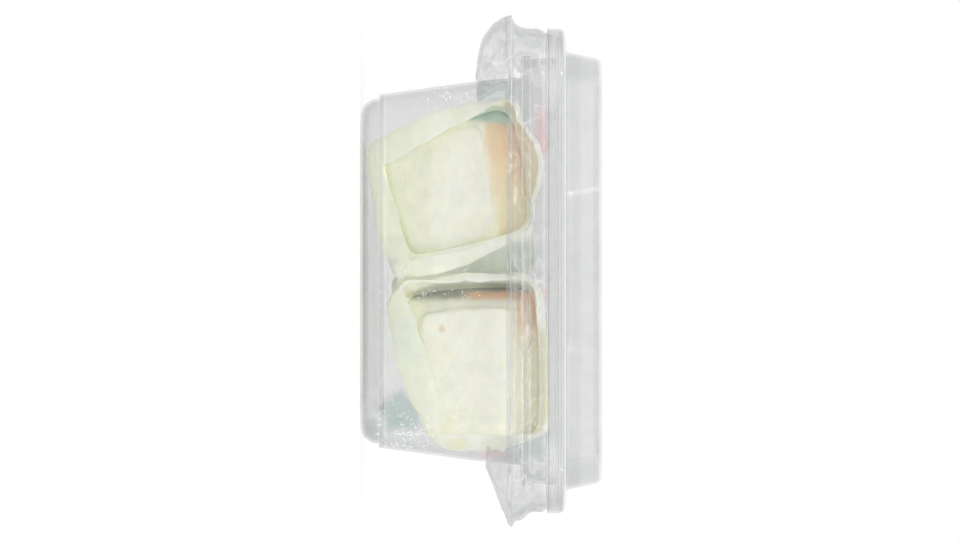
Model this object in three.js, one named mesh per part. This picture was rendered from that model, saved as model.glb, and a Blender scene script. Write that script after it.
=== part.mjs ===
// Fresh goat cheese: two portions, each in its own thin wrap, side by side in a shut clear pack.
// Millimetres, +Z up. The long side of the pack runs along X and the side in the photo faces -Y.
// The tray stands on z = 0 and the origin is below the middle of the pack.
import * as THREE from 'three';

// Heights, from the floor up
const FOOT_TOP = 5.1;
const STEP_TOP = 6.5;
const WALL_BREAK = 33.0;
const WALL_TOP = 46.0;
const LEDGE_Z = 47.0;
const BEAD_TOP = 49.8;
const FLANGE_Z = 57.2;
const LID_EDGE_Z = 54.7;
const RIM_TOP = 60.3;
const DOME_TOP = 70.5;

// Half lengths along X of the plan at those heights
const FOOT_HALF = 45.1;
const STEP_HALF = 51.8;
const WALL_BREAK_HALF = 55.4;
const WALL_TOP_HALF = 56.5;
const BEAD_HALF = 62.9;
const FLANGE_HALF = 68.4;
const RIM_HALF = 70.65;
const DOME_BASE_HALF = 63.6;
const DOME_TOP_HALF = 61.8;

// The plan is shorter along Y than along X by these amounts on each side
const WALL_INSET = 10.3;
const RIM_INSET = 15.15;

// Plan corners: radius at the tray's step, and how much it grows with the half length
const CORNER_RADIUS = 12.5;
const CORNER_GROWTH = 0.22;
const CORNER_STEPS = 6;

const SHEET = 0.9;
const FILM_SHEET = 0.6;
const WRAP_SHEET = 0.8;

// The lid's long walls have a slightly sunk middle panel between two creases
const PANEL_HALF = 23.7;
const PANEL_CREASE = 1.1;
const PANEL_DEPTH = 0.7;

const CLEAR = { color: 0xd6dad9, roughness: 0.12, metalness: 0, transparent: true, opacity: 0.35 };
const CHEESE_LOOK = { color: 0xe9ead9, roughness: 0.75, metalness: 0 };
const WRAP_LOOK = { color: 0xe6e9da, roughness: 0.6, metalness: 0 };

const pack = new THREE.Group();

function addMesh(name, geometry, look) {
  geometry.computeVertexNormals();
  const mesh = new THREE.Mesh(geometry, new THREE.MeshStandardMaterial(look));
  mesh.name = name;
  pack.add(mesh);
  return mesh;
}

const mix = (a, b, t) => a + (b - a) * t;
const clamp01 = (t) => Math.min(Math.max(t, 0), 1);

function smooth(from, to, value) {
  const t = clamp01((value - from) / (to - from));
  return t * t * (3 - 2 * t);
}

// Joins rings of equal point count into one closed body. Each ring is a list of Vector3, and the
// rings run so that the outside lies to the right of the direction of travel.
function skinRings(rings, { loop = false } = {}) {
  const count = rings[0].length;
  const points = rings.flat();
  const faces = [];
  const quad = (a, b, i) => {
    const j = (i + 1) % count;
    faces.push(a * count + i, a * count + j, b * count + j);
    faces.push(a * count + i, b * count + j, b * count + i);
  };
  const last = rings.length - 1;
  for (let ring = 0; ring < last; ring += 1) {
    for (let i = 0; i < count; i += 1) quad(ring, ring + 1, i);
  }
  for (let i = 0; i < count; i += 1) {
    const j = (i + 1) % count;
    if (loop) {
      quad(last, 0, i);
    } else {
      faces.push(points.length, j, i);
      faces.push(points.length + 1, last * count + i, last * count + j);
    }
  }
  if (!loop) points.push(middleOf(rings[0]), middleOf(rings[last]));
  const geometry = new THREE.BufferGeometry().setFromPoints(points);
  geometry.setIndex(faces);
  return geometry;
}

function middleOf(ring) {
  const sum = ring.reduce((total, point) => total.add(point), new THREE.Vector3());
  return sum.divideScalar(ring.length);
}

// The same profile moved to its left by a sheet's thickness. Points are Vector2(half length, z).
function offsetProfile(profile, thickness) {
  return profile.map((point, i) => {
    const before = profile[Math.max(i - 1, 0)];
    const after = profile[Math.min(i + 1, profile.length - 1)];
    const back = point.clone().sub(before).normalize();
    const ahead = after.clone().sub(point).normalize();
    const along = back.add(ahead).normalize();
    return new THREE.Vector2(point.x - along.y * thickness, point.y + along.x * thickness);
  });
}

// One loop of the pack's plan: four corner arcs, and stops along the straight sides, given as
// fractions of the half length. Each entry holds a place and the outward normal there.
function planLoop(halfX, halfY, radius, stops) {
  const loop = [];
  const straight = (from, normal) => {
    for (const stop of stops) {
      const x = from.x !== undefined ? from.x : stop * from.sign * halfX;
      const y = from.y !== undefined ? from.y : stop * from.sign * halfY;
      loop.push({ place: new THREE.Vector2(x, y), normal });
    }
  };
  const sides = [
    { x: halfX, sign: 1 },
    { y: halfY, sign: -1 },
    { x: -halfX, sign: -1 },
    { y: -halfY, sign: 1 },
  ];
  sides.forEach((side, i) => {
    const turn = (i * Math.PI) / 2;
    straight(side, new THREE.Vector2(Math.round(Math.cos(turn)), Math.round(Math.sin(turn))));
    const signX = i === 0 || i === 3 ? 1 : -1;
    const signY = i < 2 ? 1 : -1;
    const centre = new THREE.Vector2(signX * (halfX - radius), signY * (halfY - radius));
    for (let step = 0; step <= CORNER_STEPS; step += 1) {
      const angle = turn + (step / CORNER_STEPS) * (Math.PI / 2);
      const normal = new THREE.Vector2(Math.cos(angle), Math.sin(angle));
      loop.push({ place: centre.clone().addScaledVector(normal, radius), normal });
    }
  });
  return loop;
}

// How much shorter than the half length along X the half length along Y is at a height
function insetAt(z) {
  return mix(WALL_INSET, RIM_INSET, smooth(WALL_TOP, BEAD_TOP, z));
}

function radiusAt(halfX) {
  return CORNER_RADIUS + (halfX - STEP_HALF) * CORNER_GROWTH;
}

// A level ring of the pack's sheet at one point of its profile
function levelRing(point, stops, sink = () => 0) {
  const halfY = point.x - insetAt(point.y);
  return planLoop(point.x, halfY, radiusAt(point.x), stops).map(({ place, normal }) => {
    const inward = sink(place, normal);
    const x = place.x - normal.x * inward;
    const y = place.y - normal.y * inward;
    return new THREE.Vector3(x, y, point.y);
  });
}

function profileOf(...pairs) {
  return pairs.map(([half, z]) => new THREE.Vector2(half, z));
}

// A quarter turn of a rounded edge, from a level stretch to an upright one
function footArc(steps) {
  const run = STEP_HALF - 1.4 - FOOT_HALF;
  return Array.from({ length: steps + 1 }, (_, i) => {
    const angle = (i / steps) * (Math.PI / 2);
    return [FOOT_HALF + run * Math.sin(angle), FOOT_TOP * (1 - Math.cos(angle))];
  });
}

// The tray: foot, step, tapered wall, ledge with a rounded bead, collar and flange
function trayGeometry() {
  const outside = profileOf(
    [FOOT_HALF - 1.5, 0],
    ...footArc(5),
    [STEP_HALF - 0.4, FOOT_TOP + 0.5],
    [STEP_HALF, STEP_TOP],
    [WALL_BREAK_HALF - 0.1, WALL_BREAK],
    [WALL_BREAK_HALF + 0.4, WALL_BREAK + 1.2],
    [WALL_TOP_HALF, WALL_TOP],
    [WALL_TOP_HALF + 0.7, LEDGE_Z],
    [BEAD_HALF - 1.2, LEDGE_Z],
    [BEAD_HALF - 0.3, LEDGE_Z + 0.5],
    [BEAD_HALF, (LEDGE_Z + BEAD_TOP) / 2],
    [BEAD_HALF - 0.3, BEAD_TOP - 0.5],
    [BEAD_HALF - 1.0, BEAD_TOP],
    [BEAD_HALF - 0.6, FLANGE_Z - 0.5],
    [BEAD_HALF, FLANGE_Z],
    [FLANGE_HALF, FLANGE_Z],
  );
  const inside = offsetProfile(outside, SHEET).reverse();
  return skinRings([...outside, ...inside].map((point) => levelRing(point, [0])));
}

// The lid: a rim turned down over the flange, and a dome with a sunk panel in each long wall
function lidGeometry() {
  const outside = profileOf(
    [RIM_HALF, LID_EDGE_Z],
    [RIM_HALF, RIM_TOP - 2.6],
    [RIM_HALF - 0.5, RIM_TOP - 1.2],
    [RIM_HALF - 1.9, RIM_TOP - 0.4],
    [DOME_BASE_HALF + 1.6, RIM_TOP],
    [DOME_BASE_HALF + 0.4, RIM_TOP + 0.3],
    [DOME_BASE_HALF, RIM_TOP + 1.2],
    [DOME_TOP_HALF, DOME_TOP - 2.0],
    [DOME_TOP_HALF - 0.6, DOME_TOP - 0.6],
    [DOME_TOP_HALF - 2.0, DOME_TOP],
    [DOME_TOP_HALF - 4.0, DOME_TOP],
  );
  const crease = PANEL_CREASE / DOME_BASE_HALF;
  const edge = PANEL_HALF / DOME_BASE_HALF;
  const stops = [-edge - crease, -edge + crease, edge - crease, edge + crease];
  const innermost = (edge - crease) * DOME_TOP_HALF;
  const sinkAt = (z) => (place, normal) => {
    const onPanel = Math.abs(normal.y) === 1 && Math.abs(place.x) < innermost * 1.04;
    return onPanel ? PANEL_DEPTH * smooth(RIM_TOP + 0.3, RIM_TOP + 1.2, z) : 0;
  };
  const inside = offsetProfile(outside, SHEET).reverse();
  return skinRings([...inside, ...outside].map((point) => levelRing(point, stops, sinkAt(point.y))));
}

// The film skirt hangs from under the lid's edge and flares to a free edge. Along the long sides
// it ends in a short hem. Round each end it runs on, under and back to the tray's wall, like a pouch.
const FILM_TOP_HALF = 68.9;
const FILM_EDGE_HALF = 74.7;
const FILM_EDGE_Z = 43.9;
const FILM_POUCH_START = 50.0;
const FILM_POUCH_FULL = 60.0;
const FILM_WALL_HALF = 57.2;

// Where the film is below its edge, as fractions of the way back to the tray's wall, and heights
const HEM = profileOf([0.12, 42.6], [0.07, 42.8], [0.03, 43.2]);
const POUCH_LEFT = profileOf([1, 33.9], [0.41, 35.4], [0.11, 39.5]);
const POUCH_RIGHT = profileOf([1, 36.8], [0.58, 39.8], [0.29, 41.7]);

// The film from its edge up to its top under the lid: steep at the left end, bulging at the right
const FILM_LEFT = profileOf(
  [FILM_EDGE_HALF, FILM_EDGE_Z], [72.1, 44.7], [71.0, 46.6], [70.6, 49.5], [70.2, 53.3],
  [69.25, 54.3], [FILM_TOP_HALF, FLANGE_Z - 1.0],
);
const FILM_RIGHT = profileOf(
  [FILM_EDGE_HALF, FILM_EDGE_Z], [72.7, 44.9], [72.4, 47.2], [69.7, 49.9], [70.2, 53.3],
  [69.25, 54.3], [FILM_TOP_HALF, FLANGE_Z - 1.0],
);
const FILM_TURN = 62;
// How far each of those points moves out with a pleat and up with the wave of the edge
const PLEAT_SHARE = [0.5, 1, 1, 0.4, 0, 0, 0];
const WAVE_SHARE = [1, 0.5, 0, 0, 0, 0, 0];

// The waves of the film's edge as [height, how many round the pack, start], and its corner pleats
const EDGE_WAVES = [[0.2, 5, 0], [0.1, 13, 1]];
const PLEAT_DEPTH = 0.8;
const PLEATS_ROUND = 24;

function edgeWave(along) {
  const turn = along * 2 * Math.PI;
  return EDGE_WAVES.reduce((sum, [height, count, start]) => sum + height * Math.sin(turn * count + start), 0);
}

// The film's upper part as distances out from its edge, and heights
function filmUpper(edge, normal, along) {
  const wave = edgeWave(along);
  const atCorner = 4 * (normal.x * normal.y) ** 2;
  const pleat = PLEAT_DEPTH * atCorner * Math.sin(Math.atan2(normal.y, normal.x) * PLEATS_ROUND);
  const right = smooth(-FILM_TURN, FILM_TURN, edge.x);
  return FILM_LEFT.map((left, i) => {
    const point = left.clone().lerp(FILM_RIGHT[i], right);
    point.x += pleat * PLEAT_SHARE[i] - FILM_EDGE_HALF;
    point.y += wave * WAVE_SHARE[i];
    return point;
  });
}

function filmColumn(edge, wall, normal, along) {
  const back = wall.clone().sub(edge);
  const pouch = smooth(FILM_POUCH_START, FILM_POUCH_FULL, Math.abs(edge.x));
  const deep = edge.x < 0 ? POUCH_LEFT : POUCH_RIGHT;
  const under = HEM.map((hem, i) => hem.clone().lerp(deep[i], pouch));
  under.forEach((point) => point.setX(-point.x * back.length()));
  const outside = [...under, ...filmUpper(edge, normal, along)];
  const inside = offsetProfile(outside, FILM_SHEET);
  const outward = back.normalize().negate();
  const place = (point, i) => {
    const spot = edge.clone().addScaledVector(i < under.length ? outward : normal, point.x);
    return new THREE.Vector3(spot.x, spot.y, point.y);
  };
  return [...outside.map(place), ...inside.map(place).reverse()];
}

function filmGeometry() {
  const stops = Array.from({ length: 9 }, (_, i) => (i - 4) * 0.165);
  const halfY = FILM_TOP_HALF - RIM_INSET;
  const loop = planLoop(FILM_TOP_HALF, halfY, radiusAt(FILM_TOP_HALF), stops);
  const wallHalfY = FILM_WALL_HALF - WALL_INSET;
  const wall = planLoop(FILM_WALL_HALF, wallHalfY, radiusAt(FILM_WALL_HALF), stops);
  const columns = loop.map(({ place, normal }, i) => {
    const edge = place.clone().addScaledVector(normal, FILM_EDGE_HALF - FILM_TOP_HALF);
    return filmColumn(edge, wall[i].place, normal, i / loop.length);
  });
  const rings = columns[0].map((_, ring) => columns.map((column) => column[ring]));
  return skinRings(rings, { loop: true });
}

// A portion seen from the front is a four-sided outline with soft corners. Its corners run
// lower right, upper right, upper left, lower left, as [across, up], and each side, in the same
// order, may bulge.
const OUTLINE_CORNER_STEPS = 5;
const OUTLINE_SIDE_STEPS = 4;

function softOutline({ corners, reach, bulge }) {
  const points = corners.map(([across, up]) => new THREE.Vector2(across, up));
  const outline = [];
  points.forEach((corner, i) => {
    const before = points[(i + 3) % 4];
    const after = points[(i + 1) % 4];
    const toBefore = before.clone().sub(corner).setLength(reach[i]).add(corner);
    const toAfter = after.clone().sub(corner).setLength(reach[i]).add(corner);
    const turn = new THREE.QuadraticBezierCurve(toBefore, corner, toAfter);
    outline.push(...turn.getPoints(OUTLINE_CORNER_STEPS));
    const end = corner.clone().sub(after).setLength(reach[(i + 1) % 4]).add(after);
    const along = end.sub(toAfter);
    const outward = new THREE.Vector2(along.y, -along.x).normalize();
    for (let step = 1; step <= OUTLINE_SIDE_STEPS; step += 1) {
      const t = step / (OUTLINE_SIDE_STEPS + 1);
      const swell = bulge[i] * 4 * t * (1 - t);
      outline.push(toAfter.clone().addScaledVector(along, t).addScaledVector(outward, swell));
    }
  });
  return outline;
}

// Moves a closed outline inwards by a distance
function shrink(outline, distance) {
  const count = outline.length;
  return outline.map((point, i) => {
    const before = outline[(i + count - 1) % count];
    const after = outline[(i + 1) % count];
    const along = after.clone().sub(before).normalize();
    return new THREE.Vector2(point.x - along.y * distance, point.y + along.x * distance);
  });
}

function blend(from, to, t) {
  return from.map((point, i) => point.clone().lerp(to[i], t));
}

// Stands an outline upright in the pack, a distance in front of its middle plane
function upright(outline, forward) {
  return outline.map((point) => new THREE.Vector3(point.x, -forward, point.y));
}

const PORTION_FRONT = 31.0;
const PORTION_SHOULDER = 21.5;
const PORTION_EDGE = 1.6;
const PORTION_BACK = -30.0;
const WRAP_GAP = 0.4;
const WRAP_FRONT = 34.6;
const WRAP_FLARE = 4.6;
const WRAP_CURL = 3.4;

// The slope from a block's section to its face, as [share of the slope, share of the face]
const BLOCK_SLOPE = [[-0.25, 0], [0, 0.08], [0.5, 0.55]];
// The rounded edge of the face, as shares of PORTION_EDGE: [inwards, forwards]
const FACE_EDGE = [[0, 0], [0.4, 0.7], [1.6, 1]];
// A wrap's flare as [share of its length, how far it is open], at the front and at the back
const FRONT_FLARE = [[0, 0.04], [0.4, 0.35], [0.7, 0.7], [1, 1]];
const REAR_FLARE = [[1, 1], [0.5, 0.4], [0, 0]];
// The flaps in front turn in again, as [share of the curl's length, how far they are turned in]
const FLAP_CURL = [[0.5, 0.3], [1, 1]];

// A block of cheese: its full section in the middle, sloping in to a smaller face at each end
function cheeseGeometry({ section, face }) {
  const full = softOutline(section);
  const small = softOutline(face);
  const edgeStart = PORTION_FRONT - PORTION_EDGE;
  const slope = edgeStart - PORTION_SHOULDER;
  const sloped = BLOCK_SLOPE.map(([way, share]) =>
    upright(blend(full, small, share), PORTION_SHOULDER + slope * way));
  const rounded = FACE_EDGE.map(([inward, forward]) =>
    upright(shrink(small, PORTION_EDGE * inward), edgeStart + PORTION_EDGE * forward));
  const half = [...sloped, ...rounded];
  const backwards = new THREE.Matrix4().makeScale(1, PORTION_BACK / PORTION_FRONT, 1);
  const rear = half.map((ring) => ring.map((point) => point.clone().applyMatrix4(backwards)));
  return skinRings([...rear.reverse(), ...half]);
}

// A wrap: a thin sleeve round a block, open at both ends. In front it narrows to a throat round the
// block's face and flares into flaps that turn in again, and at the back it widens to a plain edge.
function wrapGeometry({ section, throat, mouth, lip, rear, rearEnd }) {
  const narrow = shrink(softOutline(section), -WRAP_GAP - WRAP_SHEET);
  const neck = shrink(softOutline(throat), -WRAP_GAP - WRAP_SHEET);
  const front = softOutline(mouth);
  const turned = softOutline(lip);
  const back = softOutline(rear);
  const flareStart = WRAP_FRONT - WRAP_FLARE;
  const stations = [
    ...REAR_FLARE.map(([way, open]) =>
      ({ forward: rearEnd + WRAP_FLARE * (1 - way), from: narrow, to: back, open })),
    { forward: PORTION_SHOULDER, from: narrow, to: front, open: 0 },
    ...FRONT_FLARE.map(([way, open]) =>
      ({ forward: flareStart + WRAP_FLARE * way, from: neck, to: front, open })),
    ...FLAP_CURL.map(([way, open]) =>
      ({ forward: WRAP_FRONT + WRAP_CURL * way, from: front, to: turned, open })),
  ];
  const ringAt = (inward) => ({ forward, from, to, open }) =>
    upright(shrink(blend(from, to, open), inward), forward);
  const outside = stations.map(ringAt(0));
  const inside = stations.map(ringAt(WRAP_SHEET)).reverse();
  return skinRings([...outside, ...inside], { loop: true });
}

// The left portion leans over by about 13 degrees, with its wrap's lower left corner on the floor
const LEFT = {
  face: {
    corners: [[-4.6, 15.0], [-10.9, 40.1], [-44.3, 35.2], [-32.8, 6.8]],
    reach: [4, 5, 6, 3],
    bulge: [0.4, 0.3, 0.6, 0.4],
  },
  section: {
    corners: [[-4.2, 14.2], [-11.6, 49.6], [-49.4, 44.2], [-34.4, 6.6]],
    reach: [5, 7, 9, 5],
    bulge: [0.4, 0.8, 0.6, 0.3],
  },
  throat: {
    corners: [[-4.4, 14.8], [-12.4, 49.8], [-49.4, 44.2], [-33.0, 6.6]],
    reach: [4, 7, 9, 3],
    bulge: [0.4, 0.8, 0.6, 0.4],
  },
  mouth: {
    corners: [[3.0, 9.8], [-11.5, 52.2], [-53.1, 46.0], [-37.0, 1.2]],
    reach: [4, 9, 9, 5],
    bulge: [2.4, 3.0, 1.8, 1.4],
  },
  lip: {
    corners: [[1.2, 13.9], [-11.9, 51.6], [-52.4, 45.2], [-31.0, 5.6]],
    reach: [1.6, 8, 8, 2],
    bulge: [2.3, 3.0, 0, -0.7],
  },
  rear: {
    corners: [[1.6, 9.6], [1.4, 52.0], [-51.6, 45.2], [-36.0, 3.0]],
    reach: [4, 6, 9, 5],
    bulge: [0, 1.2, 1.0, 0.8],
  },
  rearEnd: -33.4,
};

// The right portion leans less. Its wrap is caught between the left one and the tray's end wall,
// and at the back its edge stops in front of the left wrap's edge.
const RIGHT = {
  face: {
    corners: [[47.6, 22.2], [48.2, 45.2], [10.0, 45.0], [12.4, 16.4]],
    reach: [4, 5, 5, 5],
    bulge: [0.4, 0.3, 0.4, 0.5],
  },
  section: {
    corners: [[49.0, 21.0], [47.8, 52.4], [4.4, 51.0], [7.0, 12.6]],
    reach: [6, 7, 7, 6],
    bulge: [0.5, 0.6, 0.6, 0.5],
  },
  throat: {
    corners: [[47.9, 21.9], [48.4, 52.4], [4.4, 51.0], [7.0, 12.8]],
    reach: [4, 7, 7, 6],
    bulge: [0.4, 0.6, 0.6, 0.5],
  },
  mouth: {
    corners: [[54.6, 21.0], [48.6, 55.6], [1.4, 53.2], [5.2, 6.0]],
    reach: [12, 6, 7, 9],
    bulge: [0.8, 0.4, 2.6, 2.0],
  },
  lip: {
    corners: [[48.4, 23.4], [48.2, 54.2], [2.2, 51.4], [4.4, 11.2]],
    reach: [2, 4, 6, 4],
    bulge: [0, 0.4, -0.6, -1.8],
  },
  rear: {
    corners: [[51.5, 20.6], [49.2, 54.2], [0.4, 52.8], [0.4, 7.0]],
    reach: [9, 7, 8, 7],
    bulge: [0.6, 0.5, 0, 1.2],
  },
  rearEnd: -31.0,
};

addMesh('tray', trayGeometry(), CLEAR);
addMesh('lid', lidGeometry(), CLEAR);
addMesh('film', filmGeometry(), CLEAR);
addMesh('cheese_left', cheeseGeometry(LEFT), CHEESE_LOOK);
addMesh('cheese_right', cheeseGeometry(RIGHT), CHEESE_LOOK);
addMesh('wrap_left', wrapGeometry(LEFT), WRAP_LOOK);
addMesh('wrap_right', wrapGeometry(RIGHT), WRAP_LOOK);

export default pack;
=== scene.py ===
# Fresh goat cheese in a shut clear pack: the looks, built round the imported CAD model.
# Sizes are in millimetres until a mesh is made. Z is up, and the side in the photo faces -Y.
# Bare numbers in smooth() are places, read from the photo, where a shape or tint starts and ends.
import math
import random
import bpy
from mathutils import Matrix, Vector, noise


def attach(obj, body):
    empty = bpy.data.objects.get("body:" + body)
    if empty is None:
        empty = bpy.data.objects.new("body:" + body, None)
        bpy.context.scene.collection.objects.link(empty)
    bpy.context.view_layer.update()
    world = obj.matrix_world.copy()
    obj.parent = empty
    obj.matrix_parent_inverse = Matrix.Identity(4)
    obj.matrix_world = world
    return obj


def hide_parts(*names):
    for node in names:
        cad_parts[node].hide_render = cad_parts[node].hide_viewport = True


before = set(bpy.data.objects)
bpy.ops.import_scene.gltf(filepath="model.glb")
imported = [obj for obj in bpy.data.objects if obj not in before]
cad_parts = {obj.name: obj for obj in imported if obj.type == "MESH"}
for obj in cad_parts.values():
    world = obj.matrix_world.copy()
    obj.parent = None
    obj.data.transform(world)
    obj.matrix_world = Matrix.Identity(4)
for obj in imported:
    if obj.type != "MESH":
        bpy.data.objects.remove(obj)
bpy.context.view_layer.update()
MM = 0.001

# --- sizes, as in the CAD model
FOOT_TOP, STEP_TOP = 5.1, 6.5
WALL_BREAK, WALL_TOP = 33.0, 46.0
LEDGE_Z, BEAD_TOP, FLANGE_Z = 47.0, 49.8, 57.2
LID_EDGE_Z, RIM_TOP, DOME_TOP = 54.7, 60.3, 70.5

FOOT_HALF, STEP_HALF, STEP_SHELF = 45.1, 51.8, 1.4
WALL_BREAK_HALF, WALL_TOP_HALF = 55.4, 56.5
BEAD_HALF, FLANGE_HALF = 62.9, 68.4
RIM_HALF, DOME_BASE_HALF, DOME_TOP_HALF = 70.65, 63.6, 61.8

WALL_INSET, RIM_INSET = 10.3, 15.15
CORNER_RADIUS, CORNER_GROWTH = 12.5, 0.22
SHEET, FILM_SHEET, WRAP_SHEET = 0.7, 0.45, 0.6


# --- small sums
def mix(a, b, t):
    return a + (b - a) * t


def smooth(start, end, value):
    t = min(max((value - start) / (end - start), 0.0), 1.0)
    return t * t * (3 - 2 * t)


def tint(a, b, t):
    return tuple(mix(p, q, t) for p, q in zip(a, b))


def srgb(red, green, blue):
    """A colour given as 0-255 screen values, in linear light."""
    def one(value):
        value /= 255
        return value / 12.92 if value <= 0.04045 else ((value + 0.055) / 1.055) ** 2.4
    return one(red), one(green), one(blue)


def soft_noise(point, size, seed=0.0):
    """Smooth noise from about -1 to 1, with features of about the given size."""
    return noise.noise(Vector(point) / size + Vector((seed, seed * 1.7, -seed)))


def inside_ellipse(x, z, centre, reach):
    """1 in the middle of an ellipse, falling softly to 0 at its uneven edge."""
    away = math.hypot((x - centre[0]) / reach[0], (z - centre[1]) / reach[1])
    away += 0.3 * soft_noise((x, 0, z), 3.5, 12.0)
    return 1 - smooth(0.5, 1, away)


# --- meshes
def new_object(name, data):
    made = bpy.data.objects.new(name, data)
    bpy.context.collection.objects.link(made)
    return made


def new_mesh(name, points, faces, sharp=35):
    """An object whose mesh has these points, given in millimetres."""
    mesh = bpy.data.meshes.new(name)
    mesh.from_pydata([Vector(p) * MM for p in points], [], faces)
    mesh.validate()
    mesh.shade_smooth()
    mesh.set_sharp_from_angle(angle=math.radians(sharp))
    return new_object(name, mesh)


def skin(rings, loop=False):
    """Joins rings of equal length into quads. An open stack gets a point in each end."""
    count = len(rings[0])
    points = [p for ring in rings for p in ring]
    faces = []
    pairs = [(i, i + 1) for i in range(len(rings) - 1)]
    if loop:
        pairs.append((len(rings) - 1, 0))
    for a, b in pairs:
        for i in range(count):
            j = (i + 1) % count
            faces.append((a * count + i, a * count + j, b * count + j, b * count + i))
    if not loop:
        last = (len(rings) - 1) * count
        points += [middle_of(rings[0]), middle_of(rings[-1])]
        first_tip, last_tip = len(points) - 2, len(points) - 1
        for i in range(count):
            j = (i + 1) % count
            faces.append((first_tip, j, i))
            faces.append((last_tip, last + i, last + j))
    return points, faces


def middle_of(ring):
    return sum((Vector(p) for p in ring), Vector()) / len(ring)


def places_of(piece):
    """The places of a piece's points, in millimetres."""
    return [v.co / MM for v in piece.data.vertices]


def store(piece, name, colours):
    """Stores a colour on each point of a piece."""
    layer = piece.data.color_attributes.new(name, "FLOAT_COLOR", "POINT")
    layer.data.foreach_set("color", [value for colour in colours for value in (*colour, 1.0)])


def store_shares(piece, name, shares):
    """Stores one number on each point of a piece."""
    store(piece, name, [(share,) * 3 for share in shares])


# --- lines in a plane
def turn_round(start, corner, end, steps):
    """Points on a curve that leaves the start towards the corner and reaches the end from it."""
    shares = [k / steps for k in range(steps + 1)]
    return [start * (1 - t) ** 2 + corner * 2 * t * (1 - t) + end * t ** 2 for t in shares]


def fillet(corners, steps=5):
    """A line through (a, b, radius) corners, each turned with its radius."""
    line = []
    for i, (a, b, radius) in enumerate(corners):
        here = Vector((a, b))
        if radius == 0 or i in (0, len(corners) - 1):
            line.append(here)
            continue
        ways = [Vector(corners[k][:2]) - here for k in (i - 1, i + 1)]
        start, end = (here + way.normalized() * min(radius, way.length * 0.48) for way in ways)
        line += turn_round(start, here, end, steps)
    return line


def fill_in(line, step):
    """The same line with points added, so that none lie further apart than the step."""
    dense = [line[0]]
    for a, b in zip(line, line[1:]):
        parts = max(1, math.ceil((b - a).length / step))
        dense += [a.lerp(b, k / parts) for k in range(1, parts + 1)]
    return dense


def profile(corners, lines):
    """A sheet's outside line, with points where the thin lines start, are strongest and end."""
    line = fill_in(fillet(corners), PROFILE_STEP)
    for height in (height + part * reach for height, reach, _, _ in lines for part in (-1, 0, 1)):
        for i in range(len(line) - 1):
            a, b = line[i], line[i + 1]
            if min(a.y, b.y) + 0.02 < height < max(a.y, b.y) - 0.02:
                line = line[:i + 1] + [a.lerp(b, (height - a.y) / (b.y - a.y))] + line[i + 1:]
                break
    return line


def left_normals(line, loop=False):
    """The unit vector to the left of the line's direction at each point."""
    count = len(line)
    normals = []
    for i in range(count):
        before = line[i - 1] if loop or i else line[0]
        after = line[(i + 1) % count] if loop or i < count - 1 else line[-1]
        along = (after - before).normalized()
        normals.append(Vector((-along.y, along.x)))
    return normals


# --- the pack's plan
LONG_STEPS, SHORT_STEPS, TURN_STEPS, PROFILE_STEP = 116, 40, 12, 1.3


def plan(half, z):
    """Places and outward normals round the pack at one half length and height."""
    radius = CORNER_RADIUS + (half - STEP_HALF) * CORNER_GROWTH
    half_y = half - mix(WALL_INSET, RIM_INSET, smooth(WALL_TOP, BEAD_TOP, z))
    loop = []
    sides = [(1, 0, SHORT_STEPS), (0, 1, LONG_STEPS), (-1, 0, SHORT_STEPS), (0, -1, LONG_STEPS)]
    for quarter, (nx, ny, steps) in enumerate(sides):
        normal = Vector((nx, ny))
        along = Vector((-ny, nx))
        reach = (half_y if nx else half) - radius
        out = half if nx else half_y
        for k in range(1, steps):
            loop.append((normal * out + along * reach * (2 * k / steps - 1), normal))
        corner = Vector(((nx or -ny) * (half - radius), (ny or nx) * (half_y - radius)))
        for k in range(TURN_STEPS + 1):
            angle = (quarter + k / TURN_STEPS) * math.pi / 2
            turned = Vector((math.cos(angle), math.sin(angle)))
            loop.append((corner + turned * radius, turned))
    return loop


def sheet_shell(line, relief):
    """Rings of a formed sheet: the line is its outside, and relief(place, normal, half, z) says how
    far each point is moved out and up, on both faces alike."""
    outer, inner = [], []
    for point, left in zip(line, left_normals(line)):
        outer_ring, inner_ring = [], []
        for place, normal in plan(point.x, point.y):
            out, up = relief(place, normal, point.x, point.y)
            for ring, depth in ((outer_ring, 0), (inner_ring, SHEET)):
                spot = place + normal * (out + left.x * depth)
                ring.append((spot.x, spot.y, point.y + up + left.y * depth))
        outer.append(outer_ring)
        inner.append(inner_ring)
    return outer, inner


def inward_rings(ring, scales, lift):
    """Smaller and smaller copies of a ring, with lift(scale) added to their height."""
    return [[(x * s, y * s, z + lift(s)) for x, y, z in ring] for s in scales]


def formed_wave(place, z):
    """The slight unevenness of a formed sheet."""
    spot = (place.x, place.y, z)
    return 0.10 * soft_noise(spot, 17.0, 3.0) + 0.035 * soft_noise(spot, 5.0, 8.0)


# --- materials
CLEAR_BODY = (0.17, 0.185, 0.185)
LID_BODY = (0.165, 0.18, 0.2)
FILM_BODY = (0.18, 0.195, 0.20)
# Colours of the painted highlights and the painted dark edge shade drawn on the clear plastic
PAINTED_HIGHLIGHT = (0.92, 0.94, 0.92)
PAINTED_EDGE_SHADE = (0.10, 0.11, 0.11)
WATER = (0.9, 0.92, 0.9)
WHITE = (1, 1, 1, 1)
HAZE_ROUGHNESS, DUST_COVER = 0.4, 0.02
MIRROR_FRONT, MIRROR_EDGE, MIRROR_FALLOFF = 0.035, 0.45, 4.0
# Creases show faintly near the middle and clearly towards the ends, in metres along X
CREASE_HELD, CREASE_LOOSE = 0.02, 0.08
CREASE_START, CREASE_FULL = 0.050, 0.060


def new_material(name):
    made = bpy.data.materials.new(name)
    made.use_nodes = True
    made.node_tree.nodes.clear()
    return made, made.node_tree


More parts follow.
